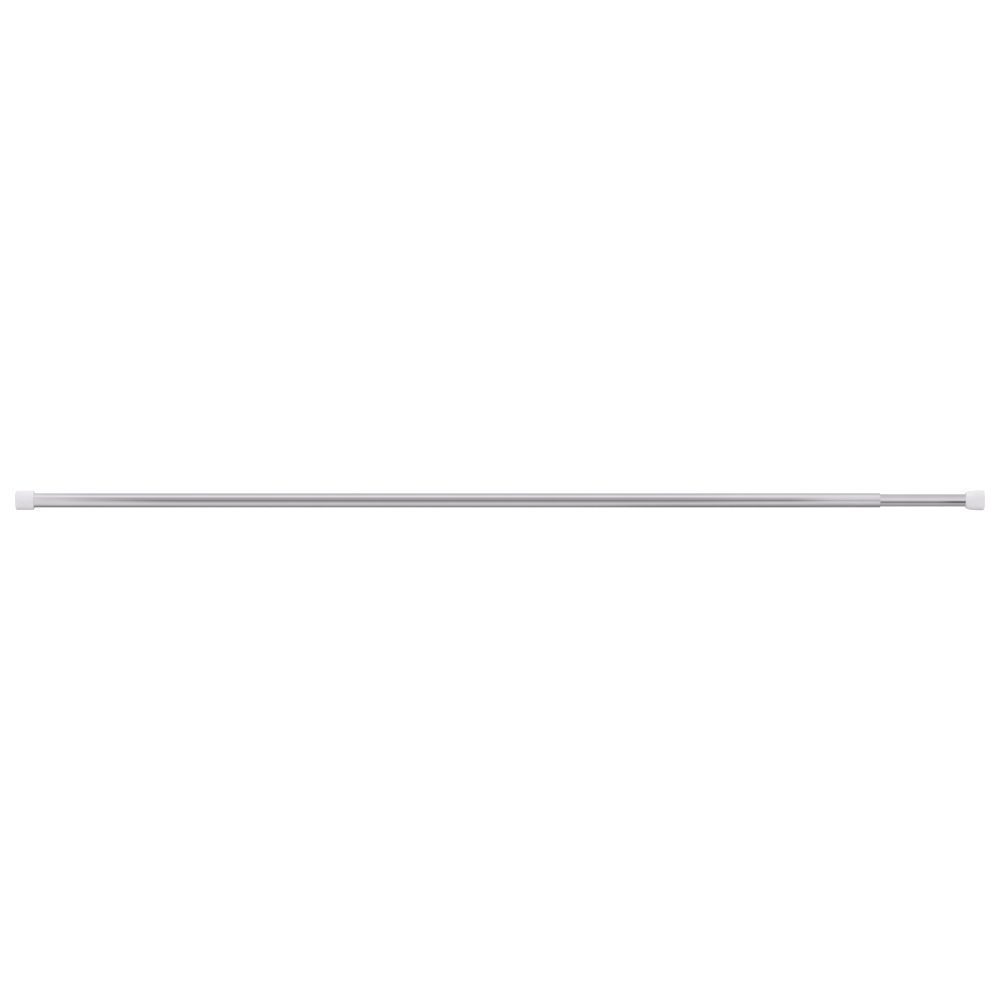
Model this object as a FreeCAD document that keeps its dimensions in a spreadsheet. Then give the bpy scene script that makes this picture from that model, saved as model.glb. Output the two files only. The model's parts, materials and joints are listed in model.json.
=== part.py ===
import FreeCAD, Part
import math
import os
import re

import Sketcher

# Telescopic tension bar that is wedged across a pickup bed between two walls.
#
# A large tube takes a thinner one that slides in it. A twist lock on the thin tube's inboard end grips the
# large tube's bore, and a compression spring behind the lock pushes the thin tube, and its rubber foot,
# against the wall.
#
# Frame: millimetres, +Z up. The origin is the centre of the large tube's foot face, and +X runs along the bar
# towards the thin tube's foot. The bar is modelled locked, with the spring resting on its stop.

OUT = "parts"
SHEET = "Dims"
NEAR = 0.01  # mm, how close an edge must be to the spot that names it

# Sketcher's numbers for its own two axes and for the ends of a line.
H_AXIS = -1
V_AXIS = -2
FIRST_END = 1
SECOND_END = 2

# Where an outline's points start, before their sizes move them: on a small circle, clear of both axes.
GUESS_CENTRE = 20.0
GUESS_RADIUS = 9.0

# Driving dimensions in millimetres (angles in degrees, counts as they are).
SIZE = {
    # tubes
    "tube_od": 25.4,
    "tube_wall": 0.8,
    "tube_length": 1500.0,
    "lip_id": 22.9,
    "lip_thick": 1.1,
    "lip_round": 0.5,
    "rod_od": 22.2,
    "rod_wall": 0.8,
    "rod_length": 900.0,
    "rod_shown": 148.5,
    # rubber feet
    "foot_face": 4.0,
    "foot_edge": 1.8,
    "foot_lip": 1.2,
    "tread_depth": 0.7,
    "tread_width": 1.4,
    "tread_pitch": 3.2,
    "tread_inner": 5.2,
    "tread_count": 3.0,
    "outer_foot_od": 34.2,
    "outer_foot_length": 32.0,
    "inner_foot_od": 35.6,
    "inner_foot_length": 33.0,
    "inner_foot_rim": 14.0,
    "inner_foot_shoulder": 28.5,
    "inner_foot_shoulder_od": 32.4,
    "inner_foot_shoulder_round": 12.0,
    "inner_foot_mouth_od": 26.8,
    # end plugs
    "plug_flange": 2.0,
    "plug_depth": 20.0,
    "plug_wall": 2.6,
    "plug_floor": 3.0,
    "plug_ease": 0.3,
    "plug_rib_width": 1.5,
    "plug_rib_root": 0.36,
    "plug_rib_height": 0.6,
    "plug_ribs": 8.0,
    # guide bush in the large tube's mouth
    "guide_length": 40.0,
    "guide_gap": 0.15,
    "guide_slit": 2.5,
    # bush fixed in the thin tube's inboard end
    "bush_flange": 4.0,
    "bush_flange_ease": 0.15,
    "bush_depth": 30.0,
    "roll_first": 9.0,
    "roll_pitch": 10.0,
    "roll_half": 1.6,
    "roll_flat": 0.5,
    "roll_depth": 0.6,
    # spindle
    "hex_flats": 8.0,
    "hex_gap": 0.1,
    "screw_od": 8.0,
    "screw_length": 64.0,
    "stub_od": 6.0,
    "stub_length": 10.0,
    "end_chamfer": 0.6,
    "groove_width": 1.4,
    "groove_start": 1.2,
    "groove_floor_od": 6.6,
    # washers, nuts and the retaining ring
    "washer_thick": 1.2,
    "seat_thick": 1.5,
    "washer_od": 20.0,
    "seat_od": 21.0,
    "washer_bore": 9.7,
    "clip_thick": 1.2,
    "clip_od": 15.0,
    "clip_bore": 6.7,
    "clip_angle": 290.0,
    "small_gap": 0.05,
    "stop_washer_od": 18.0,
    "screw_nut_flats": 13.0,
    "screw_nut_thick": 5.0,
    "stub_nut_flats": 10.0,
    "stub_nut_thick": 4.6,
    "stub_nut_collar_od": 8.6,
    "stub_nut_collar": 1.4,
    # expander sleeve and wedge nut
    "sleeve_length": 32.0,
    "sleeve_gap": 0.05,
    "sleeve_ring": 6.0,
    "sleeve_ring_ease": 0.5,
    "sleeve_bore": 10.0,
    "taper_mouth_od": 19.8,
    "taper_length": 20.0,
    "taper_slope": 0.15,
    "sleeve_slots": 4.0,
    "sleeve_slot_width": 2.2,
    "sleeve_slot_length": 24.0,
    "grip_count": 5.0,
    "grip_first": 3.0,
    "grip_pitch": 4.0,
    "grip_half": 0.6,
    "grip_depth": 0.5,
    "wedge_gap": 0.1,
    "wedge_nose": 18.0,
    "wedge_neck": 6.0,
    "wedge_tail": 14.0,
    "wedge_tail_od": 22.8,
    "wedge_bore": 8.1,
    "key_width": 1.8,
    "key_length": 16.0,
    "key_floor": 1.4,
    "key_ease": 0.1,
    "ring_section": 2.4,
    "ring_centre": 5.5,
    "ring_gap": 0.05,
    "ring_floor_gap": 0.02,
    "ring_side_gap": 0.3,
    # compression spring
    "spring_length": 100.0,
    "spring_wire": 2.0,
    "spring_mean": 16.0,
    "spring_turns": 15.0,
    # how far a cutter runs past the face it cuts, and an added piece into the one it joins
    "cut_over": 1.0,
    "join_in": 1.0,
}

doc = FreeCAD.newDocument("TensionBar")
sheet = doc.addObject("Spreadsheet::Sheet", SHEET)
made = []


def fill_sheet():
    """Writes each driving dimension as a plain number with its name as the alias."""
    for row, (name, value) in enumerate(SIZE.items(), start=1):
        sheet.set(f"A{row}", name)
        sheet.set(f"B{row}", f"{value:g}")
        sheet.setAlias(f"B{row}", name)
    doc.recompute()


def cells(text):
    """The same sum with each dimension's name pointing at its cell of the sheet."""

    def cell(match):
        word = match.group(0)
        return f"{SHEET}.{word}" if word in SIZE else word

    return re.sub(r"[a-z]\w*", cell, text)


def bind(item, prop, text):
    """Ties a property to a sum of the sheet's cells."""
    item.setExpression(prop, cells(text))


# Places along the bar, as sums of the sheet's cells.
TUBE_START = "foot_face + plug_flange"
MOUTH = f"{TUBE_START} + tube_length"
ROD_FOOT_MOUTH = f"{MOUTH} + rod_shown"
BAR_LENGTH = f"{ROD_FOOT_MOUTH} + inner_foot_length"
ROD_END = f"{BAR_LENGTH} - foot_face - plug_flange"
ROD_START = f"{ROD_END} - rod_length"
BUSH_START = f"{ROD_START} - bush_flange"
SPRING_END = f"{BUSH_START} - seat_thick - small_gap"
SPRING_START = f"{SPRING_END} - spring_length"
HEX_START = f"{SPRING_START} - seat_thick - clip_thick - washer_thick - 3 * small_gap"
STOP_START = f"{ROD_START} + bush_depth + 2 * small_gap"
HEX_LENGTH = f"({STOP_START}) - ({HEX_START})"
SLEEVE_START = f"{HEX_START} - sleeve_length"
WEDGE_START = f"{SLEEVE_START} - wedge_neck - wedge_tail"
SCREW_START = f"{HEX_START} - screw_length"
TUBE_BORE = "tube_od / 2 - tube_wall"
ROD_BORE = "rod_od / 2 - rod_wall"


def new_body(label, start, flipped=False):
    """An empty body with its origin at start and its own X axis along the bar, or against it if flipped."""
    body = doc.addObject("PartDesign::Body", label)
    body.Label = label
    if flipped:
        body.Placement = FreeCAD.Placement(FreeCAD.Vector(), FreeCAD.Rotation(FreeCAD.Vector(0, 0, 1), 180))
    if start:
        bind(body, ".Placement.Base.x", start)
    made.append(body)
    return body


def origin_feature(body, role):
    """One of a body's own origin planes or axes."""
    return next(f for f in body.Origin.OriginFeatures if f.Role == role)


def axis_name(body):
    """A body's own X axis, as patterns take it."""
    return (origin_feature(body, "X_Axis"), [""])


def first_guess(number, count):
    """Where one of an outline's points starts."""
    angle = 2 * math.pi * number / count
    along = GUESS_CENTRE + GUESS_RADIUS * math.cos(angle)
    out = GUESS_CENTRE + GUESS_RADIUS * math.sin(angle)
    return FreeCAD.Vector(along, out, 0)


def outline(body, points, name="Outline"):
    """A closed sketch through (along the axis, radius) points, each held by two sizes."""
    sketch = body.newObject("Sketcher::SketchObject", name)
    sketch.AttachmentSupport = [(origin_feature(body, "XY_Plane"), "")]
    sketch.MapMode = "FlatFace"
    count = len(points)
    rough = [first_guess(i, count) for i in range(count)]
    for i in range(count):
        sketch.addGeometry(Part.LineSegment(rough[i], rough[(i + 1) % count]), False)
    for i in range(count):
        joined = Sketcher.Constraint("Coincident", i, SECOND_END, (i + 1) % count, FIRST_END)
        sketch.addConstraint(joined)
    for i, point in enumerate(points):
        for kind, text, axis in (("DistanceX", point[0], V_AXIS), ("DistanceY", point[1], H_AXIS)):
            if text == "0":
                sketch.addConstraint(Sketcher.Constraint("PointOnObject", i, FIRST_END, axis))
                continue
            size = Sketcher.Constraint(kind, H_AXIS, FIRST_END, i, FIRST_END, GUESS_CENTRE)
            index = sketch.addConstraint(size)
            bind(sketch, f"Constraints[{index}]", text)
    return sketch


def turned(body, points, angle=None, name="Turned"):
    """Turns an outline about the bar's axis, all the way round unless an angle is given."""
    sketch = outline(body, points, f"{name}Outline")
    feature = body.newObject("PartDesign::Revolution", name)
    feature.Profile = sketch
    feature.ReferenceAxis = (sketch, ["H_Axis"])
    feature.Angle = 360
    if angle:
        bind(feature, "Angle", angle)
    return feature


def turned_cut(body, points, name="Groove"):
    """Cuts a turned groove into a body that already has a solid."""
    sketch = outline(body, points, f"{name}Outline")
    feature = body.newObject("PartDesign::Groove", name)
    feature.Profile = sketch
    feature.ReferenceAxis = (sketch, ["H_Axis"])
    feature.Angle = 360
    return feature


def rounded(body, radius, *spots):
    """Rounds the circular edges at the given (along the axis, radius) spots of a body."""
    doc.recompute()
    base = body.Tip
    names = []
    for number, edge in enumerate(base.Shape.Edges, start=1):
        if not isinstance(edge.Curve, Part.Circle):
            continue
        for along, edge_radius in spots:
            if math.hypot(edge.Curve.Center.x - along, edge.Curve.Radius - edge_radius) < NEAR:
                names.append(f"Edge{number}")
    fillet = body.newObject("PartDesign::Fillet", "Rounded")
    fillet.Base = (base, names)
    bind(fillet, "Radius", radius)
    return fillet


def primitive(body, kind, start, sizes, name, side="0", up="0"):
    """A PartDesign primitive with its own Z axis along the bar, starting at start."""
    feature = body.newObject(f"PartDesign::{kind}", name)
    feature.AttachmentSupport = [(origin_feature(body, "YZ_Plane"), "")]
    feature.MapMode = "FlatFace"
    for prop, text in sizes.items():
        bind(feature, prop, text)
    for place, text in (("x", side), ("y", up), ("z", start)):
        if text != "0":
            bind(feature, f".AttachmentOffset.Base.{place}", text)
    return feature


def around(body, feature, count):
    """Repeats a feature evenly about the bar's axis."""
    pattern = body.newObject("PartDesign::PolarPattern", "Around")
    pattern.Originals = [feature]
    pattern.Axis = axis_name(body)
    pattern.Angle = 360
    bind(pattern, "Occurrences", count)
    body.Tip = pattern
    return pattern


def hexagon(body, kind, start, length, flats, name):
    """A six-sided prism, added or cut, with the given distance across its flats."""
    prism = primitive(body, kind, start, {"Height": length, "Circumradius": f"({flats}) / 2 / cos(30)"}, name)
    prism.Polygon = 6
    return prism


def ring(label, start, length, bore, outside):
    """A plain washer or bush."""
    body = new_body(label, start)
    turned(body, [("0", bore), ("0", outside), (length, outside), (length, bore)])
    return body


def large_tube():
    """The large tube, with its mouth rolled in to hide the guide bush."""
    end = "tube_length"
    body = new_body("outer_tube", TUBE_START)
    turned(
        body,
        [
            ("0", TUBE_BORE),
            ("0", "tube_od / 2"),
            (end, "tube_od / 2"),
            (end, "lip_id / 2"),
            (f"{end} - lip_thick", "lip_id / 2"),
            (f"{end} - lip_thick", TUBE_BORE),
        ],
    )
    rounded(body, "lip_round", (SIZE["tube_length"], SIZE["tube_od"] / 2))


def rolled(radius, places, backwards=False):
    """The points of the grooves rolled into a wall of that radius, one trapezoid at each place."""
    points = []
    for place in places:
        points += [
            (f"{place} - roll_half", radius),
            (f"{place} - roll_flat", f"{radius} - roll_depth"),
            (f"{place} + roll_flat", f"{radius} - roll_depth"),
            (f"{place} + roll_half", radius),
        ]
    return points[::-1] if backwards else points


def thin_tube():
    """The thin tube, rolled into its bush's two grooves."""
    body = new_body("inner_tube", ROD_START)
    places = ["roll_first", "roll_first + roll_pitch"]
    turned(
        body,
        [("0", "rod_od / 2")]
        + rolled("rod_od / 2", places)
        + [("rod_length", "rod_od / 2"), ("rod_length", ROD_BORE)]
        + rolled(ROD_BORE, places, backwards=True)
        + [("0", ROD_BORE)],
    )


def end_foot(label, start, tube_od, outside, length, flipped):
    """A rubber foot: a cup over the tube's end, with ring treads in the face that bears on the wall.

    outside is its outer profile as (distance from the face, diameter), from the face to the mouth.
    """
    body = new_body(label, start, flipped)
    profile = [("0", "0")]
    for number in range(int(SIZE["tread_count"])):
        inside = f"tread_inner + {number} * tread_pitch"
        profile += [
            ("0", inside),
            ("tread_depth", inside),
            ("tread_depth", f"{inside} + tread_width"),
            ("0", f"{inside} + tread_width"),
        ]
    profile += [(along, f"{diameter} / 2") for along, diameter in outside]
    profile += [(length, f"{tube_od} / 2"), ("foot_face", f"{tube_od} / 2"), ("foot_face", "0")]
    turned(body, profile)
    return body


def outer_foot():
    """The large tube's foot, a plain cylinder."""
    outside = [("0", "outer_foot_od"), ("outer_foot_length", "outer_foot_od")]
    body = end_foot("outer_foot", None, "tube_od", outside, "outer_foot_length", False)
    rounded(body, "foot_edge", (0, SIZE["outer_foot_od"] / 2))
    rounded(body, "foot_lip", (SIZE["outer_foot_length"], SIZE["outer_foot_od"] / 2))


def inner_foot():
    """The thin tube's foot, which tapers from its rim to a round shoulder and a narrow mouth."""
    outside = [
        ("0", "inner_foot_od"),
        ("inner_foot_rim", "inner_foot_od"),
        ("inner_foot_shoulder", "inner_foot_shoulder_od"),
        ("inner_foot_length", "inner_foot_mouth_od"),
    ]
    body = end_foot("inner_foot", BAR_LENGTH, "rod_od", outside, "inner_foot_length", True)
    rounded(body, "foot_edge", (0, SIZE["inner_foot_od"] / 2))
    rounded(
        body,
        "inner_foot_shoulder_round",
        (SIZE["inner_foot_rim"], SIZE["inner_foot_od"] / 2),
        (SIZE["inner_foot_shoulder"], SIZE["inner_foot_shoulder_od"] / 2),
    )
    rounded(body, "foot_lip", (SIZE["inner_foot_length"], SIZE["inner_foot_mouth_od"] / 2))


def end_plug(label, start, tube_od, flipped):
    """A moulded plug that closes a tube's end, with crush ribs along its barrel."""
    body = new_body(label, start, flipped)
    bore = f"{tube_od} / 2 - tube_wall"
    barrel = f"{bore} - plug_ease"
    length = "plug_flange + plug_depth"
    turned(
        body,
        [
            ("0", "0"),
            ("0", f"{tube_od} / 2"),
            ("plug_flange", f"{tube_od} / 2"),
            ("plug_flange", barrel),
            (f"{length} - end_chamfer", barrel),
            (length, f"{barrel} - end_chamfer"),
            (length, f"{barrel} - plug_wall"),
            ("plug_floor", f"{barrel} - plug_wall"),
            ("plug_floor", "0"),
        ],
    )
    rib = primitive(
        body,
        "AdditiveBox",
        "plug_flange",
        {
            "Length": "plug_rib_width",
            "Width": "plug_rib_height",
            "Height": "plug_depth - 2 * end_chamfer",
        },
        "Rib",
        side="-plug_rib_width / 2",
        up=f"{barrel} - plug_rib_root",
    )
    around(body, rib, "plug_ribs")


def guide_bush():
    """The split nylon bush behind the large tube's lip, which the thin tube runs in."""
    body = new_body("mouth_guide_bush", f"{MOUTH} - lip_thick - guide_length")
    inside = "rod_od / 2 + guide_gap"
    turned(
        body,
        [
            ("0", inside),
            ("0", TUBE_BORE),
            ("guide_length", TUBE_BORE),
            ("guide_length", inside),
        ],
    )
    primitive(
        body,
        "SubtractiveBox",
        "-cut_over",
        {"Length": "guide_slit", "Width": "tube_od", "Height": "guide_length + 2 * cut_over"},
        "Slit",
        side="-guide_slit / 2",
        up="-tube_od",
    )


def spindle_bush():
    """The bush rolled into the thin tube's inboard end. Its hexagon turns the spindle and slides along it."""
    body = new_body("spindle_bush", BUSH_START)
    places = ["bush_flange + roll_first", "bush_flange + roll_first + roll_pitch"]
    flange = f"{TUBE_BORE} - bush_flange_ease"
    end = "bush_flange + bush_depth"
    turned(
        body,
        [("0", "0"), ("0", flange), ("bush_flange", flange), ("bush_flange", ROD_BORE)]
        + rolled(ROD_BORE, places)
        + [(end, ROD_BORE), (end, "0")],
    )
    bore = "hex_flats + 2 * hex_gap"
    hexagon(body, "SubtractivePrism", "-cut_over", f"{end} + 2 * cut_over", bore, "HexBore")


def spindle():
    """A hexagon bar, turned down to the wedge nut's screw at one end and to a stub at the other.

    The screw is M8 x 1.25, and it is left as a plain cylinder.
    """
    body = new_body("spindle", SCREW_START)
    turned(
        body,
        [
            ("0", "0"),
            ("0", "screw_od / 2 - end_chamfer"),
            ("end_chamfer", "screw_od / 2"),
            ("screw_length + join_in", "screw_od / 2"),
            ("screw_length + join_in", "0"),
        ],
        name="Screw",
    )
    hexagon(body, "AdditivePrism", "screw_length", HEX_LENGTH, "hex_flats", "HexBar")
    primitive(
        body,
        "AdditiveCylinder",
        f"screw_length + {HEX_LENGTH} - join_in",
        {"Radius": "stub_od / 2", "Height": "stub_length + join_in"},
        "Stub",
    )
    turned_cut(
        body,
        [
            ("screw_length + groove_start", "groove_floor_od / 2"),
            ("screw_length + groove_start", "hex_flats"),
            ("screw_length + groove_start + groove_width", "hex_flats"),
            ("screw_length + groove_start + groove_width", "groove_floor_od / 2"),
        ],
        name="ClipGroove",
    )


def retaining_ring():
    """The open ring in the spindle's groove, between the spring's push and the sleeve's."""
    body = new_body("retaining_ring", f"{HEX_START} + washer_thick + 2 * small_gap")
    turned(
        body,
        [
            ("0", "clip_bore / 2"),
            ("0", "clip_od / 2"),
            ("clip_thick", "clip_od / 2"),
            ("clip_thick", "clip_bore / 2"),
        ],
        angle="clip_angle",
    )


def hex_nut(label, start, flats, thick, bore, collar_od=None, collar=None):
    """A hexagon nut. A lock nut has a round collar, which holds its nylon insert."""
    body = new_body(label, start)
    hexagon(body, "AdditivePrism", "0", thick, flats, "Hexagon")
    length = thick
    if collar_od:
        length = f"{thick} + {collar}"
        sizes = {"Radius": f"{collar_od} / 2", "Height": length}
        primitive(body, "AdditiveCylinder", "0", sizes, "Collar")
    sizes = {"Radius": f"{bore} / 2", "Height": f"{length} + 2 * cut_over"}
    primitive(body, "SubtractiveCylinder", "-cut_over", sizes, "Bore")


def expander_sleeve():
    """The split sleeve that grips the large tube's bore. Its fingers point at the wedge nut."""
    body = new_body("expander_sleeve", SLEEVE_START)
    grip = f"{TUBE_BORE} - sleeve_gap"
    waist = "sleeve_length - sleeve_ring"
    points = [("0", "taper_mouth_od / 2"), ("0", grip)]
    for number in range(int(SIZE["grip_count"])):
        middle = f"grip_first + {number} * grip_pitch"
        points += [
            (f"{middle} - grip_half", grip),
            (middle, f"{grip} - grip_depth"),
            (f"{middle} + grip_half", grip),
        ]
    points += [
        (waist, grip),
        (waist, f"{grip} - sleeve_ring_ease"),
        ("sleeve_length", f"{grip} - sleeve_ring_ease"),
        ("sleeve_length", "sleeve_bore / 2"),
        ("taper_length", "sleeve_bore / 2"),
        ("taper_length", "taper_mouth_od / 2 - taper_slope * taper_length"),
    ]
    turned(body, points)
    slot = primitive(
        body,
        "SubtractiveBox",
        "-cut_over",
        {
            "Length": "sleeve_slot_width",
            "Width": "tube_od",
            "Height": "sleeve_slot_length + cut_over",
        },
        "Slot",
        side="-sleeve_slot_width / 2",
    )
    around(body, slot, "sleeve_slots")


def wedge_nut():
    """The tapered nut on the screw. Keys in the sleeve's slots keep it from turning."""
    body = new_body("wedge_nut", WEDGE_START)
    shoulder = "wedge_tail + wedge_neck"
    throat = "taper_mouth_od / 2 - wedge_gap"
    seat = "wedge_tail_od / 2"
    ring_floor = f"{TUBE_BORE} - ring_gap - ring_section - ring_floor_gap"
    ring_half = "(ring_section / 2 + ring_side_gap)"
    turned(
        body,
        [
            ("0", "wedge_bore / 2"),
            ("0", f"{seat} - end_chamfer"),
            ("end_chamfer", seat),
            (f"ring_centre - {ring_half}", seat),
            (f"ring_centre - {ring_half}", ring_floor),
            (f"ring_centre + {ring_half}", ring_floor),
            (f"ring_centre + {ring_half}", seat),
            ("wedge_tail", seat),
            ("wedge_tail", throat),
            (shoulder, throat),
            (f"{shoulder} + wedge_nose", f"{throat} - taper_slope * wedge_nose"),
            (f"{shoulder} + wedge_nose", "wedge_bore / 2"),
        ],
    )
    key = primitive(
        body,
        "AdditiveBox",
        "wedge_tail - join_in",
        {
            "Length": "key_width",
            "Width": f"{seat} - wedge_bore / 2 - key_floor - key_ease",
            "Height": "key_length + join_in",
        },
        "Key",
        side="-key_width / 2",
        up="wedge_bore / 2 + key_floor",
    )
    around(body, key, "sleeve_slots")


def drag_ring():
    """The rubber ring in the wedge nut's groove, which rubs on the large tube so the nut can't spin."""
    torus = doc.addObject("Part::Torus", "drag_ring")
    torus.Label = "drag_ring"
    bind(torus, "Radius1", f"{TUBE_BORE} - ring_gap - ring_section / 2")
    bind(torus, "Radius2", "ring_section / 2")
    torus.Placement = FreeCAD.Placement(FreeCAD.Vector(), FreeCAD.Rotation(FreeCAD.Vector(0, 1, 0), 90))
    bind(torus, ".Placement.Base.x", f"{WEDGE_START} + ring_centre")
    made.append(torus)


def spring():
    """The compression spring, wound from round wire and open at both ends."""
    height = "(spring_length - spring_wire - 2 * small_gap)"
    helix = doc.addObject("Part::Helix", "SpringLine")
    bind(helix, "Radius", "spring_mean / 2")
    bind(helix, "Height", height)
    bind(helix, "Pitch", f"{height} / spring_turns")
    helix.SegmentLength = 1
    wire = doc.addObject("Part::Circle", "SpringWire")
    bind(wire, "Radius", "spring_wire / 2")
    wire.Placement = FreeCAD.Placement(FreeCAD.Vector(), FreeCAD.Rotation(FreeCAD.Vector(1, 0, 0), 90))
    bind(wire, ".Placement.Base.x", "spring_mean / 2")
    sweep = doc.addObject("Part::Sweep", "spring")
    sweep.Label = "spring"
    sweep.Sections = [wire]
    sweep.Spine = (helix, [])
    sweep.Solid = True
    sweep.Frenet = True
    sweep.Placement = FreeCAD.Placement(FreeCAD.Vector(), FreeCAD.Rotation(FreeCAD.Vector(0, 1, 0), 90))
    bind(sweep, ".Placement.Base.x", f"{SPRING_START} + spring_wire / 2 + small_gap")
    made.append(sweep)


def build():
    """Makes every sub-part, from the large tube's foot to the thin tube's."""
    outer_foot()
    end_plug("outer_end_plug", "foot_face", "tube_od", False)
    large_tube()
    guide_bush()
    hex_nut("screw_stop_nut", SCREW_START, "screw_nut_flats", "screw_nut_thick", "screw_od")
    wedge_nut()
    drag_ring()
    expander_sleeve()
    spindle()
    ring("thrust_washer", f"{HEX_START} + small_gap", "washer_thick", "washer_bore / 2", "washer_od / 2")
    retaining_ring()
    ring("spring_seat_fixed", f"{SPRING_START} - seat_thick", "seat_thick", "washer_bore / 2", "seat_od / 2")
    spring()
    ring("spring_seat_moving", SPRING_END, "seat_thick", "washer_bore / 2", "seat_od / 2")
    spindle_bush()
    ring("stop_washer", STOP_START, "seat_thick", "stub_od / 2", "stop_washer_od / 2")
    hex_nut(
        "stop_lock_nut",
        f"{STOP_START} + seat_thick",
        "stub_nut_flats",
        "stub_nut_thick",
        "stub_od",
        "stub_nut_collar_od",
        "stub_nut_collar",
    )
    thin_tube()
    end_plug("inner_end_plug", f"{BAR_LENGTH} - foot_face", "rod_od", True)
    inner_foot()


def check_and_export():
    """Stops on any failed object or bad shape, then writes one STEP file for each sub-part."""
    doc.recompute()
    for item in doc.Objects:
        if "Invalid" in item.State or "Error" in item.State:
            raise RuntimeError(f"{item.Label} failed: {item.State}")
    os.makedirs(OUT, exist_ok=True)
    for item in made:
        shape = item.Shape
        if shape.isNull() or not shape.isValid():
            raise RuntimeError(f"{item.Label} has no valid shape")
        box = shape.optimalBoundingBox()
        ends = f"x {box.XMin:8.2f} to {box.XMax:8.2f}, radius {box.ZMax:6.2f}"
        print(f"{item.Label:20s} {len(shape.Solids)} solid, {shape.Volume:9.1f} mm3, {ends}")
        shape.exportStep(os.path.join(OUT, f"{item.Label}.step"))


fill_sheet()
build()
check_and_export()
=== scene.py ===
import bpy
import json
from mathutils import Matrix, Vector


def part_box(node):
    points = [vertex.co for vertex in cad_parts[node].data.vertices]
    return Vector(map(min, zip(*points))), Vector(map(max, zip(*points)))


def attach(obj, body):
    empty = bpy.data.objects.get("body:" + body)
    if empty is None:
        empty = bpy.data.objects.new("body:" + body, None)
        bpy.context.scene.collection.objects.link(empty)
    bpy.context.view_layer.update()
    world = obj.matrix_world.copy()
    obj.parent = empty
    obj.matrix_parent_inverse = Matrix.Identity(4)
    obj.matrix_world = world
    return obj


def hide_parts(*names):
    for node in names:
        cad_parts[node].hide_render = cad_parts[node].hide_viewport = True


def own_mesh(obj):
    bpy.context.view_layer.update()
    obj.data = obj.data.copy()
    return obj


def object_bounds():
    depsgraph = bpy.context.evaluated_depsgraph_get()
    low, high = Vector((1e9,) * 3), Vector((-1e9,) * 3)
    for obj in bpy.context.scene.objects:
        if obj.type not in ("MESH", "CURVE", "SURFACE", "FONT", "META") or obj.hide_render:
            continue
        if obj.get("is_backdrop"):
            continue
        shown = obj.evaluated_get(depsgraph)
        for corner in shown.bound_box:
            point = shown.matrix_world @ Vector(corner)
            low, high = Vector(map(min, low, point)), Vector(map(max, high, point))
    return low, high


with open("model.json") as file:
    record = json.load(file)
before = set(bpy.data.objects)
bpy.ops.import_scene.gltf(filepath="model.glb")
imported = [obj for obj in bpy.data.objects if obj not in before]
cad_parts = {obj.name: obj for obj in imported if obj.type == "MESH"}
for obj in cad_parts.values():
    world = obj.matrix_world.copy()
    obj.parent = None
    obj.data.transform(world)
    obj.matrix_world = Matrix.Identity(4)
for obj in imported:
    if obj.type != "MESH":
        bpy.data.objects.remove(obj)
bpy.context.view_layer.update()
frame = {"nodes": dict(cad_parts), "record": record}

import json
import math

import bmesh
import bpy
from mathutils import Vector

# Looks for a chrome telescopic cargo bar with off-white rubber feet. Metres, +Z up, with the bar along +X.

MM = 0.001
NODES = frame["nodes"]

# ------------------------------------------------------------------------------------------------ sizes
TUBE_RADIUS = 12.7 * MM
TUBE_WALL = 0.8 * MM
LIP_RADIUS = 11.45 * MM
LIP_THICK = 1.1 * MM
LIP_ROUND = 0.5 * MM
LIP_INNER_ROUND = 0.15 * MM
TUBE_END_ROUND = 0.1 * MM
ROD_RADIUS = 11.1 * MM
ROD_WALL = 0.8 * MM
ROLL_PLACES = (9 * MM, 19 * MM)
ROLL_HALF = 1.6 * MM
ROLL_FLAT = 0.5 * MM
ROLL_DEPTH = 0.6 * MM
ROLL_ROUND = 0.3 * MM
FOOT_FLOOR = 4 * MM
FOOT_EDGE = 1.8 * MM
FOOT_LIP = 1.2 * MM
FOOT_MOUTH_ROUND = 0.35 * MM
OUTER_FOOT_RADIUS = 17.1 * MM
INNER_FOOT_RADIUS = 17.8 * MM
INNER_FOOT_RIM = 14 * MM
INNER_FOOT_SHOULDER = 28.5 * MM
INNER_FOOT_SHOULDER_RADIUS = 16.2 * MM
INNER_FOOT_SHOULDER_ROUND = 12 * MM
INNER_FOOT_MOUTH_RADIUS = 13.4 * MM
TREAD_INNER = 5.2 * MM
TREAD_PITCH = 3.2 * MM
TREAD_WIDTH = 1.4 * MM
TREAD_DEPTH = 0.7 * MM
TREAD_COUNT = 3
TREAD_ROUND = 0.3 * MM
SEAM_ANGLES = (math.radians(38), math.radians(218))
SEAM_HALF = 0.35 * MM
SEAM_HEIGHT = 0.12 * MM
SEAM_CLEARANCE = 1.5  # no even angle lies nearer to a seam than this many half widths
SEAM_FROM_OUTER = 0.9 * OUTER_FOOT_RADIUS  # the seams run where a foot is wider than this
SEAM_FROM_INNER = 0.8 * INNER_FOOT_RADIUS
SEGMENTS = 160
ARC_STEPS = 6
SHARP_ANGLE = math.radians(35)
ON_AXIS = 1e-7
LONGEST_SPAN = 60 * MM
SHORTEST_RUN = 1.5 * MM
EDGE_RING = 0.2 * MM
SPRING_WIRE = 2 * MM
SPRING_MEAN_RADIUS = 8 * MM
SPRING_TURNS = 15
SPRING_DEAD_TURNS = 1.0
SPRING_DEAD_PITCH = 1.02 * SPRING_WIRE
WIRE_SIDES = 16
WIRE_RINGS_PER_TURN = 40

START, END = (corner.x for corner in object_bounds())
CENTRE_X = (START + END) / 2
FLOOR_Z = -INNER_FOOT_RADIUS


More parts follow.
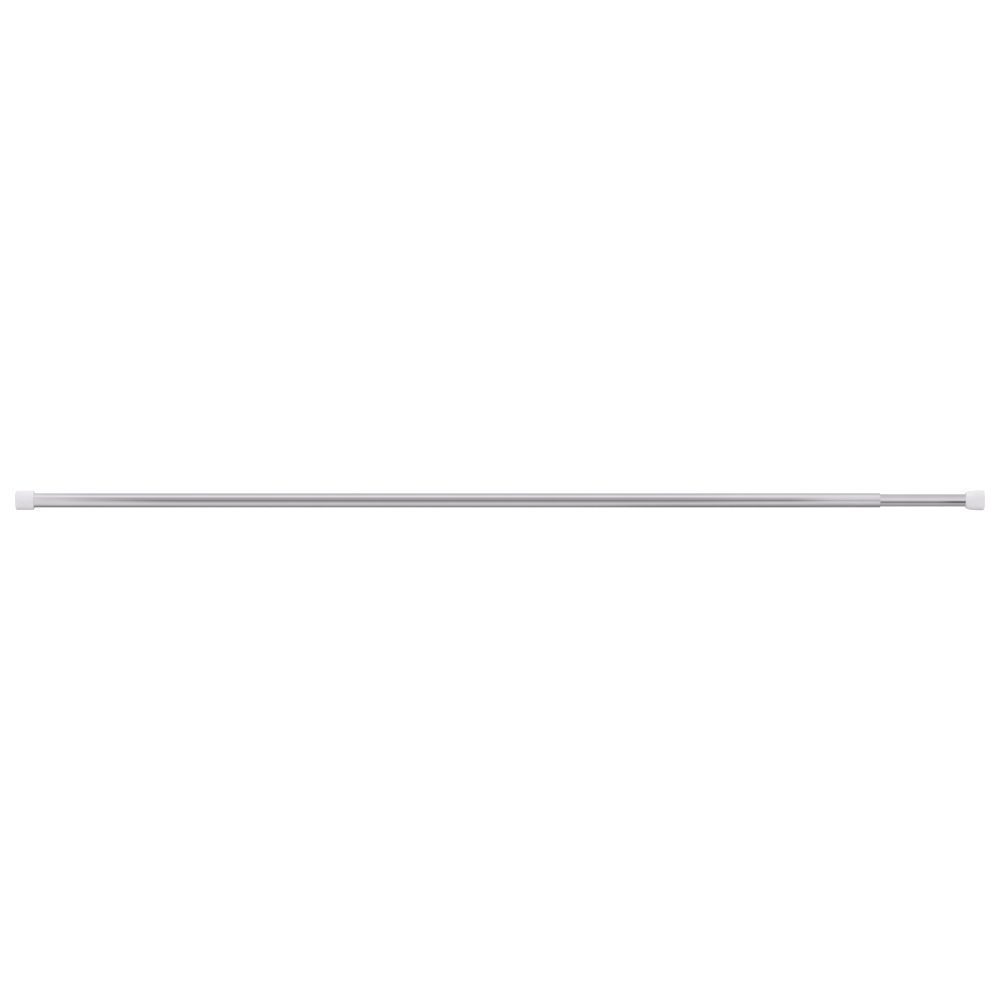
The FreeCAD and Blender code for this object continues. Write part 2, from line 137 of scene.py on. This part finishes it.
# ------------------------------------------------------------------------------------------------ meshes
def rounded(corners):
    """The closed (x, radius) profile through corners of (x, radius, rounding).

    Each corner whose rounding isn't 0 becomes an arc of that radius.
    """
    points = []
    count = len(corners)
    for i, (x, r, rounding) in enumerate(corners):
        here = Vector((x, r))
        if not rounding:
            points.append(here)
            continue
        before = Vector(corners[i - 1][:2]) - here
        after = Vector(corners[(i + 1) % count][:2]) - here
        half = before.angle(after) / 2
        reach = rounding / math.tan(half)
        middle = here + (before.normalized() + after.normalized()).normalized() * (rounding / math.sin(half))
        first = here + before.normalized() * reach - middle
        last = here + after.normalized() * reach - middle
        sweep = first.angle_signed(last)
        for step in range(ARC_STEPS + 1):
            turn = -sweep * step / ARC_STEPS
            points.append(middle + Vector((
                first.x * math.cos(turn) - first.y * math.sin(turn),
                first.x * math.sin(turn) + first.y * math.cos(turn),
            )))
    return points


def split_long(points):
    """The same profile with its long straight runs divided, and with a ring close to each of their ends.

    The close rings keep the smooth shading of a rounded edge from spreading along the straight run beside it.
    """
    divided = []
    for here, after in zip(points, points[1:] + points[:1]):
        divided.append(here)
        length = (after - here).length
        if length < SHORTEST_RUN:
            continue
        near = EDGE_RING / length
        parts = math.ceil(length / LONGEST_SPAN)
        shares = [near] + [part / parts for part in range(1, parts)] + [1 - near]
        divided += [here.lerp(after, share) for share in shares]
    return divided


def seamed_angles():
    """Even angles round the bar, with three more across each moulding seam."""
    step = 2 * math.pi / SEGMENTS
    reach = SEAM_HALF / OUTER_FOOT_RADIUS
    even = [i * step for i in range(SEGMENTS)]
    clear = [a for a in even if all(abs(a - seam) > SEAM_CLEARANCE * reach for seam in SEAM_ANGLES)]
    return sorted(clear + [seam + side * reach for seam in SEAM_ANGLES for side in (-1, 0, 1)])


def finish_mesh(name, bm, material):
    """Turns a bmesh into an object with smooth faces and sharp corners."""
    bmesh.ops.recalc_face_normals(bm, faces=bm.faces)
    mesh = bpy.data.meshes.new(name)
    bm.to_mesh(mesh)
    bm.free()
    mesh.shade_smooth()
    mesh.set_sharp_from_angle(angle=SHARP_ANGLE)
    mesh.materials.append(material)
    piece = bpy.data.objects.new(name, mesh)
    bpy.context.scene.collection.objects.link(piece)
    return piece


def lathe(name, profile, material, seams_from=None):
    """A solid of revolution about the bar's axis.

    Its moulding seams are fine raised lines along it, where its radius is more than seams_from.
    """
    seamed = seams_from is not None
    angles = seamed_angles() if seamed else [2 * math.pi * i / SEGMENTS for i in range(SEGMENTS)]
    bm = bmesh.new()
    rings = []
    for point in split_long(profile):
        if point.y < ON_AXIS:
            rings.append([bm.verts.new((point.x, 0, 0))])
            continue
        ring = []
        for angle in angles:
            on_seam = seamed and angle in SEAM_ANGLES and point.y > seams_from
            radius = point.y + (SEAM_HEIGHT if on_seam else 0)
            ring.append(bm.verts.new((point.x, radius * math.cos(angle), radius * math.sin(angle))))
        rings.append(ring)
    for ring, other in zip(rings, rings[1:] + rings[:1]):
        for i in range(len(angles)):
            j = (i + 1) % len(angles)
            if len(ring) > 1 and len(other) > 1:
                bm.faces.new((ring[i], ring[j], other[j], other[i]))
            elif len(other) > 1:
                bm.faces.new((ring[0], other[j], other[i]))
            elif len(ring) > 1:
                bm.faces.new((ring[i], ring[j], other[0]))
    return finish_mesh(name, bm, material)


def helix_wire(name, start, end, material):
    """The spring's wire: even turns, with a dead turn closed up at each end."""
    half = SPRING_WIRE / 2
    live_turns = SPRING_TURNS - 2 * SPRING_DEAD_TURNS
    live_rise = (end - start) - SPRING_WIRE - 2 * SPRING_DEAD_TURNS * SPRING_DEAD_PITCH
    bm = bmesh.new()
    rings = []
    count = SPRING_TURNS * WIRE_RINGS_PER_TURN
    for i in range(count + 1):
        turn = SPRING_TURNS * i / count
        rising = min(max(turn - SPRING_DEAD_TURNS, 0), live_turns)
        dead = turn - rising
        x = start + half + rising / live_turns * live_rise + dead * SPRING_DEAD_PITCH
        angle = 2 * math.pi * turn
        outward = Vector((0, math.cos(angle), math.sin(angle)))
        middle = Vector((x, 0, 0)) + outward * SPRING_MEAN_RADIUS
        rings.append([
            bm.verts.new(middle + outward * half * math.cos(a) + Vector((half * math.sin(a), 0, 0)))
            for a in (2 * math.pi * k / WIRE_SIDES for k in range(WIRE_SIDES))
        ])
    for ring, other in zip(rings, rings[1:]):
        for k in range(WIRE_SIDES):
            n = (k + 1) % WIRE_SIDES
            bm.faces.new((ring[k], ring[n], other[n], other[k]))
    bm.faces.new(rings[0])
    bm.faces.new(rings[-1][::-1])
    return finish_mesh(name, bm, material)


# ------------------------------------------------------------------------------------------------ materials
class Nodes:
    """Short ways to add and join shader nodes in one tree."""

    def __init__(self, tree):
        self.tree = tree
        tree.nodes.clear()

    def add(self, kind, inputs=None, **settings):
        node = self.tree.nodes.new(kind)
        for key, value in settings.items():
            setattr(node, key, value)
        for key, value in (inputs or {}).items():
            if isinstance(value, bpy.types.NodeSocket):
                self.tree.links.new(value, node.inputs[key])
            else:
                node.inputs[key].default_value = value
        return node

    def noise(self, where, scale, detail, roughness=0.55, stretch=(1, 1, 1)):
        """A noise value, stretched along the axes where its scale is below one."""
        placed = self.add("ShaderNodeMapping", {"Vector": where, "Scale": stretch})
        made = self.add("ShaderNodeTexNoise", {
            "Vector": placed.outputs[0], "Scale": scale, "Detail": detail, "Roughness": roughness,
        })
        return made.outputs["Fac"]

    def spread(self, value, low, high, from_low=0.3, from_high=0.7):
        """A value moved from one range to another."""
        return self.add("ShaderNodeMapRange", {
            "Value": value, "From Min": from_low, "From Max": from_high, "To Min": low, "To Max": high,
        }).outputs[0]

    def maths(self, operation, first, second):
        """One Math node on two values."""
        return self.add("ShaderNodeMath", {0: first, 1: second}, operation=operation).outputs[0]

    def mix(self, share, first, second):
        """A colour between two, by share."""
        mixed = self.add("ShaderNodeMix", data_type="RGBA")
        for key, value in ((0, share), (6, first), (7, second)):
            if isinstance(value, bpy.types.NodeSocket):
                self.tree.links.new(value, mixed.inputs[key])
            else:
                mixed.inputs[key].default_value = value
        return mixed.outputs[2]

    def bump(self, height, distance, strength, onto=None):
        """A bumped normal, on top of another where one is given."""
        inputs = {"Height": height, "Distance": distance, "Strength": strength}
        if onto is not None:
            inputs["Normal"] = onto
        return self.add("ShaderNodeBump", inputs).outputs[0]

    def surface(self, **inputs):
        """The principled shader on the output. A name's underscores stand for spaces."""
        shader = self.add("ShaderNodeBsdfPrincipled", {k.replace("_", " "): v for k, v in inputs.items()})
        self.add("ShaderNodeOutputMaterial", {"Surface": shader.outputs[0]})


def new_material(name):
    """A material with an empty node tree, and the object coordinates in it."""
    material = bpy.data.materials.new(name)
    material.use_nodes = True
    tree = Nodes(material.node_tree)
    where = tree.add("ShaderNodeTexCoord").outputs["Object"]
    return material, tree, where


def chrome():
    """Bright plate: hoop-wise polishing lines, lengthwise sliding scratches and faint haze."""
    material, tree, where = new_material("chrome_plate")
    dim = (0.80, 0.779, 0.810, 1)
    bright = (0.83, 0.807, 0.839, 1)
    haze = tree.noise(where, scale=18, detail=3)
    hoop = tree.noise(where, scale=900, detail=3, stretch=(3, 0.05, 0.05))
    slide = tree.noise(where, scale=700, detail=5, roughness=0.7, stretch=(0.01, 1, 1))
    pits = tree.noise(where, scale=2500, detail=2)
    roughness = tree.maths(
        "ADD",
        tree.spread(haze, 0.035, 0.07),
        tree.spread(slide, 0.0, 0.05, from_low=0.52, from_high=0.75),
    )
    lines = tree.bump(hoop, distance=0.0004 * MM, strength=0.5)
    lines = tree.bump(slide, distance=0.0008 * MM, strength=0.5, onto=lines)
    lines = tree.bump(pits, distance=0.0004 * MM, strength=0.3, onto=lines)
    colour = tree.mix(tree.spread(haze, 0, 1), dim, bright)
    tree.surface(Base_Color=colour, Metallic=1.0, Roughness=roughness, Normal=lines)
    return material


def foot_rubber():
    """Off-white moulded rubber: fine mould texture, cloudy colour, scuffs and a little handling dirt."""
    material, tree, where = new_material("off_white_rubber")
    dull = (0.606, 0.593, 0.613, 1)
    clean = (0.632, 0.619, 0.640, 1)
    grime = (0.48, 0.46, 0.44, 1)
    cloud = tree.noise(where, scale=70, detail=3)
    grain = tree.noise(where, scale=3200, detail=3)
    scuffs = tree.noise(where, scale=420, detail=6, roughness=0.75, stretch=(0.25, 1, 1))
    smears = tree.noise(where, scale=160, detail=6, roughness=0.7)
    dirt = tree.spread(smears, 0, 0.22, from_low=0.6, from_high=0.8)
    colour = tree.mix(tree.spread(cloud, 0, 1), dull, clean)
    colour = tree.mix(dirt, colour, grime)
    roughness = tree.maths(
        "ADD",
        tree.spread(cloud, 0.42, 0.52),
        tree.spread(scuffs, 0, 0.12, from_low=0.55, from_high=0.75),
    )
    lumps = tree.bump(grain, distance=0.02 * MM, strength=0.6)
    lumps = tree.bump(scuffs, distance=0.03 * MM, strength=0.35, onto=lumps)
    tree.surface(
        Base_Color=colour,
        Roughness=roughness,
        Specular_IOR_Level=0.45,
        Subsurface_Weight=0.08,
        Subsurface_Scale=1.5 * MM,
        Normal=lumps,
    )
    return material


def nylon(name, light, dark):
    """Moulded nylon: flow marks along the bar and a fine satin grain."""
    material, tree, where = new_material(name)
    flow = tree.noise(where, scale=240, detail=4, stretch=(0.2, 1, 1))
    grain = tree.noise(where, scale=4000, detail=2)
    colour = tree.mix(tree.spread(flow, 0, 1), dark, light)
    lumps = tree.bump(grain, distance=0.01 * MM, strength=0.5)
    tree.surface(Base_Color=colour, Roughness=tree.spread(flow, 0.36, 0.5), Normal=lumps)
    return material


def zinc_steel():
    """Zinc-plated turned steel: tool lines round it and a mottled, slightly blue plate."""
    material, tree, where = new_material("zinc_plated_steel")
    bluish = (0.52, 0.535, 0.56, 1)
    pale = (0.66, 0.665, 0.67, 1)
    mottle = tree.noise(where, scale=500, detail=5)
    turning = tree.noise(where, scale=1500, detail=2, stretch=(4, 0.05, 0.05))
    colour = tree.mix(tree.spread(mottle, 0, 1), bluish, pale)
    lines = tree.bump(turning, distance=0.004 * MM, strength=0.6)
    tree.surface(Base_Color=colour, Metallic=1.0, Roughness=tree.spread(mottle, 0.26, 0.42), Normal=lines)
    return material


def spring_steel():
    """Drawn, oiled spring wire: dark scale with streaks worn bright."""
    material, tree, where = new_material("oiled_spring_steel")
    dark_scale = (0.16, 0.16, 0.17, 1)
    worn = (0.42, 0.42, 0.43, 1)
    streak = tree.noise(where, scale=1400, detail=5, stretch=(1, 0.3, 0.3))
    colour = tree.mix(tree.spread(streak, 0, 1), dark_scale, worn)
    lines = tree.bump(streak, distance=0.006 * MM, strength=0.5)
    tree.surface(Base_Color=colour, Metallic=1.0, Roughness=tree.spread(streak, 0.3, 0.48), Normal=lines)
    return material


def black_rubber():
    """A moulded black ring, dull and lightly greased."""
    material, tree, where = new_material("black_ring_rubber")
    greased = (0.018, 0.018, 0.019, 1)
    dry = (0.04, 0.04, 0.042, 1)
    grease = tree.noise(where, scale=600, detail=4)
    colour = tree.mix(tree.spread(grease, 0, 1), greased, dry)
    tree.surface(Base_Color=colour, Roughness=tree.spread(grease, 0.3, 0.65))
    return material


CHROME = chrome()
RUBBER = foot_rubber()
FINISHES = {
    "chrome_tube": CHROME,
    "foot_rubber": RUBBER,
    "white_nylon": nylon("natural_nylon", light=(0.80, 0.79, 0.75, 1), dark=(0.70, 0.69, 0.64, 1)),
    "black_nylon": nylon("black_nylon", light=(0.045, 0.045, 0.048, 1), dark=(0.02, 0.02, 0.022, 1)),
    "zinc_steel": zinc_steel(),
    "spring_steel": spring_steel(),
    "black_rubber": black_rubber(),
}


def finish_cad_nodes():
    """Gives every CAD node the finish of its material slot."""
    for subpart in frame["record"]["subparts"]:
        materials = NODES[subpart["node"]].data.materials
        materials.clear()
        materials.append(FINISHES[subpart["material_slot"]])


# ------------------------------------------------------------------------------------------------ the bar
def stand_in(piece, node, body):
    """A piece that is shown in place of a CAD node and moves with its body."""
    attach(piece, body)
    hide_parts(node)
    return piece


def large_tube():
    """The large tube, with its wall rolled inwards at the mouth."""
    start, end = (corner.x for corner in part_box("outer_tube"))
    bore = TUBE_RADIUS - TUBE_WALL
    profile = rounded([
        (start, bore, TUBE_END_ROUND),
        (start, TUBE_RADIUS, TUBE_END_ROUND),
        (end, TUBE_RADIUS, LIP_ROUND),
        (end, LIP_RADIUS, LIP_INNER_ROUND),
        (end - LIP_THICK, LIP_RADIUS, 0),
        (end - LIP_THICK, bore, 0),
    ])
    return stand_in(lathe("large_tube_shell", profile, CHROME), "outer_tube", "large_tube")


def rolled(start, radius, order):
    """The corners of the two grooves rolled into a wall of that radius.

    They come in rising order along the bar where order is 1, and in falling order where it is -1.
    """
    corners = []
    for place in ROLL_PLACES:
        middle = start + place
        corners += [
            (middle - ROLL_HALF, radius, ROLL_ROUND),
            (middle - ROLL_FLAT, radius - ROLL_DEPTH, ROLL_ROUND),
            (middle + ROLL_FLAT, radius - ROLL_DEPTH, ROLL_ROUND),
            (middle + ROLL_HALF, radius, ROLL_ROUND),
        ]
    return corners[::order]


def thin_tube():
    """The thin tube, rolled onto its bush in two places near the inboard end."""
    start, end = (corner.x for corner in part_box("inner_tube"))
    bore = ROD_RADIUS - ROD_WALL
    profile = rounded(
        [(start, ROD_RADIUS, TUBE_END_ROUND)]
        + rolled(start, ROD_RADIUS, 1)
        + [(end, ROD_RADIUS, TUBE_END_ROUND), (end, bore, TUBE_END_ROUND)]
        + rolled(start, bore, -1)
        + [(start, bore, TUBE_END_ROUND)],
    )
    stand_in(lathe("thin_tube_shell", profile, CHROME), "inner_tube", "thin_tube")


def foot_profile(outside, tube_radius, length):
    """A foot's profile from its wall face at 0 to its mouth at length, with round-bottomed tread grooves."""
    corners = [(0, 0, 0)]
    for number in range(TREAD_COUNT):
        inner = TREAD_INNER + number * TREAD_PITCH
        corners += [
            (0, inner, TREAD_ROUND),
            (TREAD_DEPTH, inner, TREAD_ROUND),
            (TREAD_DEPTH, inner + TREAD_WIDTH, TREAD_ROUND),
            (0, inner + TREAD_WIDTH, TREAD_ROUND),
        ]
    corners += outside
    corners += [
        (length, tube_radius, FOOT_MOUTH_ROUND),
        (FOOT_FLOOR, tube_radius, 0),
        (FOOT_FLOOR, 0, 0),
    ]
    return rounded(corners)


def feet():
    """The straight foot on the large tube, and the thin tube's, which flares from its mouth to its rim."""
    start, mouth = (corner.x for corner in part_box("outer_foot"))
    length = mouth - start
    outside = [(0, OUTER_FOOT_RADIUS, FOOT_EDGE), (length, OUTER_FOOT_RADIUS, FOOT_LIP)]
    profile = foot_profile(outside, TUBE_RADIUS, length)
    piece = lathe("fixed_foot", profile, RUBBER, seams_from=SEAM_FROM_OUTER)
    stand_in(piece, "outer_foot", "large_tube")

    mouth, end = (corner.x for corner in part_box("inner_foot"))
    length = end - mouth
    outside = [
        (0, INNER_FOOT_RADIUS, FOOT_EDGE),
        (INNER_FOOT_RIM, INNER_FOOT_RADIUS, INNER_FOOT_SHOULDER_ROUND),
        (INNER_FOOT_SHOULDER, INNER_FOOT_SHOULDER_RADIUS, INNER_FOOT_SHOULDER_ROUND),
        (length, INNER_FOOT_MOUTH_RADIUS, FOOT_LIP),
    ]
    profile = [Vector((end - p.x, p.y)) for p in foot_profile(outside, ROD_RADIUS, length)]
    piece = lathe("sliding_foot", profile, RUBBER, seams_from=SEAM_FROM_INNER)
    stand_in(piece, "inner_foot", "thin_tube")


def push_spring():
    """The push spring's coil, which moves with the lock spindle."""
    start, end = (corner.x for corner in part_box("spring"))
    piece = helix_wire("coil_spring", start, end, FINISHES["spring_steel"])
    stand_in(piece, "spring", "lock_spindle")
    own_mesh(piece)


# ------------------------------------------------------------------------------------------------ studio
# The light tents' brightness round the bar, in stops. Each stop is the degrees from the front, up being
# positive, and the display grey that the chrome shows there. The floor side is the darkest. A slot is left
# for the lens in front, and another behind.
REAR_FLOOR = (
    (-180, 138),
    (-160, 168),
)
REAR_PANEL = (
    (150, 220),
    (168, 196),
    (180, 138),  # rear slot
)
NARROW_FLOOR = (
    (-138, 118),
    (-110, 121),
    (-67, 175),
)
MAIN_PANELS = (
    (-48, 197),
    (-3, 125),  # lens slot
    (14, 167),
    (30, 164),  # gap beside the ceiling panel
    (64, 230),  # ceiling panel's front edge
    (84, 200),
    (106, 187),  # ceiling
    (128, 194),
    *REAR_PANEL,
)
TENT_MAIN = (
    *REAR_FLOOR,
    (-138, 132),
    (-118, 132),  # floor, behind
    (-92, 160),
    (-70, 188),  # lower front panel
    *MAIN_PANELS,
)
TENT_LOWER = (*REAR_FLOOR, *NARROW_FLOOR, *MAIN_PANELS)  # the main panels over the narrow slot's floor
TENT_LEFT = (
    *REAR_FLOOR,
    (-138, 128),
    (-99, 139),
    (-70, 197),
    (0, 209),
    (50, 217),
    (86, 232),
    (112, 216),
    (128, 214),
    *REAR_PANEL,
)
TENT_NARROW = (
    *REAR_FLOOR,
    *NARROW_FLOOR,
    (-35, 203),
    (-3, 128),  # the lens slot, narrower
    (14, 169),
    (31, 185),
    (48, 211),
    (70, 225),
    (106, 192),
    (128, 192),
    *REAR_PANEL,
)
TENT_RIGHT = (
    *REAR_FLOOR,
    (-138, 140),
    (-93, 136),
    (-46, 197),
    (-17, 196),
    (0, 172),  # the lens slot's faint end
    (15, 208),
    (32, 207),
    (48, 217),
    (75, 219),
    (108, 188),
    (128, 184),
    *REAR_PANEL,
)
TENT_THIN = (
    *REAR_FLOOR,
    (-138, 150),
    (-100, 150),
    (-72, 170),
    (-55, 172),
    (-33, 118),
    (-7, 196),
    (16, 217),
    (38, 204),
    (106, 189),
    (128, 202),
    *REAR_PANEL,
)
TENT_FOOT = (
    *REAR_FLOOR,
    (-138, 150),
    (-100, 150),
    (-72, 166),
    (-55, 168),
    (-29, 54),
    (-7, 194),
    (16, 217),
    (38, 204),
    (106, 189),
    (128, 202),
    *REAR_PANEL,
)
TENT_RADIUS = 150 * MM
THIN_TENT_RADIUS = 152 * MM
TENT_REACH = 4.0
TENT_CHROME = 0.82  # the share of a tent's light that the chrome gives back
# Where along the bar each run of a tent gives way to the next, and how much sooner it does so for each metre
# above the lens.
TENT_LEFT_END = (-10 * MM, 262 * MM)
TENT_LEFT_SLANT = 0.75
TENT_LOWER_START = (970 * MM, 1180 * MM)
TENT_NARROW_START = (1150 * MM, 1350 * MM)
TENT_RIGHT_START = (1345 * MM, 1445 * MM)
TENT_FOOT_START = (1612 * MM, 1654 * MM)
UPRIGHT = 0.0
WORLD_STRENGTH = 1.07
FLOOR_GLOW = 0.5
FLOOR_REACH = 12.0
KEY_LIGHT_LENGTH = 3.0
KEY_LIGHT_WIDTH = 1.2
KEY_LIGHT_HEIGHT = 1.5
KEY_LIGHT_POWER = 15.0
CAMERA_DISTANCE = 8.2
CAMERA_FILL = 0.9682  # the share of the picture's width that the bar takes up
CAMERA_SHIFT = 0.0003
CAMERA_RANGE = 60
SENSOR_WIDTH = 36.0


def studio_floor():
    """A plain white floor that the feet stand on."""
    material, tree, where = new_material("studio_floor")
    darker = (0.56, 0.56, 0.56, 1)
    lighter = (0.57, 0.57, 0.57, 1)
    cloud = tree.noise(where, scale=1.5, detail=2)
    tree.surface(
        Base_Color=tree.mix(cloud, darker, lighter),
        Roughness=0.9,
        Emission_Color=(1, 1, 1, 1),
        Emission_Strength=FLOOR_GLOW,
    )
    mesh = bpy.data.meshes.new("studio_floor")
    sides = ((-1, -1), (1, -1), (1, 1), (-1, 1))
    corners = [(CENTRE_X + x * FLOOR_REACH, y * FLOOR_REACH, FLOOR_Z) for x, y in sides]
    mesh.from_pydata(corners, [], [(0, 1, 2, 3)])
    mesh.materials.append(material)
    floor = bpy.data.objects.new("studio_floor", mesh)
    bpy.context.scene.collection.objects.link(floor)
    floor.visible_glossy = False
    floor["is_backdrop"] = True


def linear_light(level):
    """The linear light of a display grey of 0 to 255, by the sRGB curve."""
    share = level / 255
    return share / 12.92 if share <= 0.04045 else ((share + 0.055) / 1.055) ** 2.4


def tent_ramp(tree, share, stops):
    """A ramp of brightness by the angle round the bar, a whole turn being a share of 1."""
    node = tree.add("ShaderNodeValToRGB", {"Fac": share})
    ramp = node.color_ramp
    ramp.interpolation = "CARDINAL"
    while len(ramp.elements) < len(stops):
        ramp.elements.new(0.5)
    for element, (angle, level) in zip(ramp.elements, stops):
        glow = linear_light(level) / TENT_CHROME
        element.position = (angle + 180) / 360
        element.color = (glow, glow, glow, 1)
    return node.outputs["Color"]


def light_tent(name, radius, first, changes, see_through):
    """A long soft tent round the bar, seen only in reflections: light panels with darker gaps between them.

    Its brightness starts as the first stops and gives way to those of each change, between two places along
    it, which come sooner higher up by the change's slant. A tent that is see-through lets what is behind it
    shine through and add to its own light.
    """
    material, tree, where = new_material(name)
    axes = tree.add("ShaderNodeSeparateXYZ", {"Vector": where}).outputs
    angle = tree.maths("ARCTAN2", axes["Z"], tree.maths("MULTIPLY", axes["Y"], -1.0))
    share = tree.maths("ADD", tree.maths("DIVIDE", angle, 2 * math.pi), 0.5)
    shade = tent_ramp(tree, share, first)
    for stops, (low, high), slant in changes:
        place = tree.maths("ADD", axes["X"], tree.maths("MULTIPLY", axes["Z"], slant))
        along = tree.add("ShaderNodeMapRange", {
            "Value": place, "From Min": low, "From Max": high,
        }, interpolation_type="SMOOTHSTEP").outputs[0]
        shade = tree.mix(along, shade, tent_ramp(tree, share, stops))
    glow = tree.add("ShaderNodeEmission", {"Color": shade, "Strength": 1.0}).outputs[0]
    if see_through:
        clear = tree.add("ShaderNodeBsdfTransparent").outputs[0]
        glow = tree.add("ShaderNodeAddShader", {0: glow, 1: clear}).outputs[0]
    tree.add("ShaderNodeOutputMaterial", {"Surface": glow})
    material.cycles.emission_sampling = "NONE"
    bm = bmesh.new()
    rings = [
        [
            bm.verts.new((x, -radius * math.cos(a), radius * math.sin(a)))
            for a in (2 * math.pi * k / SEGMENTS for k in range(SEGMENTS))
        ]
        for x in (CENTRE_X - TENT_REACH, CENTRE_X + TENT_REACH)
    ]
    for k in range(SEGMENTS):
        n = (k + 1) % SEGMENTS
        bm.faces.new((rings[0][k], rings[0][n], rings[1][n], rings[1][k]))
    tent = finish_mesh(name, bm, material)
    tent.visible_camera = False
    tent.visible_diffuse = False
    tent.visible_shadow = False
    tent.visible_transmission = False
    tent.visible_volume_scatter = False
    tent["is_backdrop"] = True
    return tent


def limit_tent(tent, piece, state):
    """Lets a tent be seen in that piece alone, with INCLUDE, or in all the others, with EXCLUDE."""
    receivers = bpy.data.collections.new(tent.name + "_receivers")
    receivers.objects.link(piece)
    receivers.collection_objects[0].light_linking.link_state = state
    tent.light_linking.receiver_collection = receivers


def light_tents(large_tube_piece):
    """One tent for the large tube and, just outside it, one for the thin tube and the rest."""
    changes = (
        (TENT_MAIN, TENT_LEFT_END, TENT_LEFT_SLANT),
        (TENT_LOWER, TENT_LOWER_START, UPRIGHT),
        (TENT_NARROW, TENT_NARROW_START, UPRIGHT),
        (TENT_RIGHT, TENT_RIGHT_START, UPRIGHT),
    )
    tent = light_tent("large_tube_tent", TENT_RADIUS, TENT_LEFT, changes, see_through=True)
    limit_tent(tent, large_tube_piece, "INCLUDE")
    changes = ((TENT_FOOT, TENT_FOOT_START, UPRIGHT),)
    tent = light_tent("thin_tube_tent", THIN_TENT_RADIUS, TENT_THIN, changes, see_through=False)
    limit_tent(tent, large_tube_piece, "EXCLUDE")


def world_light():
    """Even white light, with a plain white backdrop behind everything."""
    world = bpy.data.worlds.new("studio_world")
    world.use_nodes = True
    tree = Nodes(world.node_tree)
    glow = tree.add("ShaderNodeBackground", {"Color": (1, 1, 1, 1), "Strength": WORLD_STRENGTH})
    tree.add("ShaderNodeOutputWorld", {"Surface": glow.outputs[0]})
    bpy.context.scene.world = world


def key_light():
    """A large soft lamp straight above, which lights the tops of the feet and casts no hard shadow."""
    light = bpy.data.lights.new("key_light", "AREA")
    light.shape = "RECTANGLE"
    light.size = KEY_LIGHT_LENGTH
    light.size_y = KEY_LIGHT_WIDTH
    light.energy = KEY_LIGHT_POWER
    lamp = bpy.data.objects.new("key_light", light)
    lamp.location = (CENTRE_X, 0, KEY_LIGHT_HEIGHT)
    lamp.rotation_euler = (Vector((CENTRE_X, 0, 0)) - lamp.location).to_track_quat("-Z", "Y").to_euler()
    lamp.visible_glossy = False
    bpy.context.scene.collection.objects.link(lamp)


def camera():
    """Square on to the bar, level with it and far enough off for a long lens."""
    data = bpy.data.cameras.new("camera")
    data.sensor_width = SENSOR_WIDTH
    data.lens = SENSOR_WIDTH * CAMERA_DISTANCE * CAMERA_FILL / (END - START)
    data.shift_y = CAMERA_SHIFT
    data.clip_end = CAMERA_RANGE
    view = bpy.data.objects.new("camera", data)
    view.location = (CENTRE_X, -CAMERA_DISTANCE, 0)
    view.rotation_euler = (math.pi / 2, 0, 0)
    bpy.context.scene.collection.objects.link(view)
    bpy.context.scene.camera = view


bpy.context.scene.view_settings.view_transform = "Standard"
camera()
finish_cad_nodes()
large_tube_piece = large_tube()
thin_tube()
feet()
push_spring()
studio_floor()
light_tents(large_tube_piece)
world_light()
key_light()
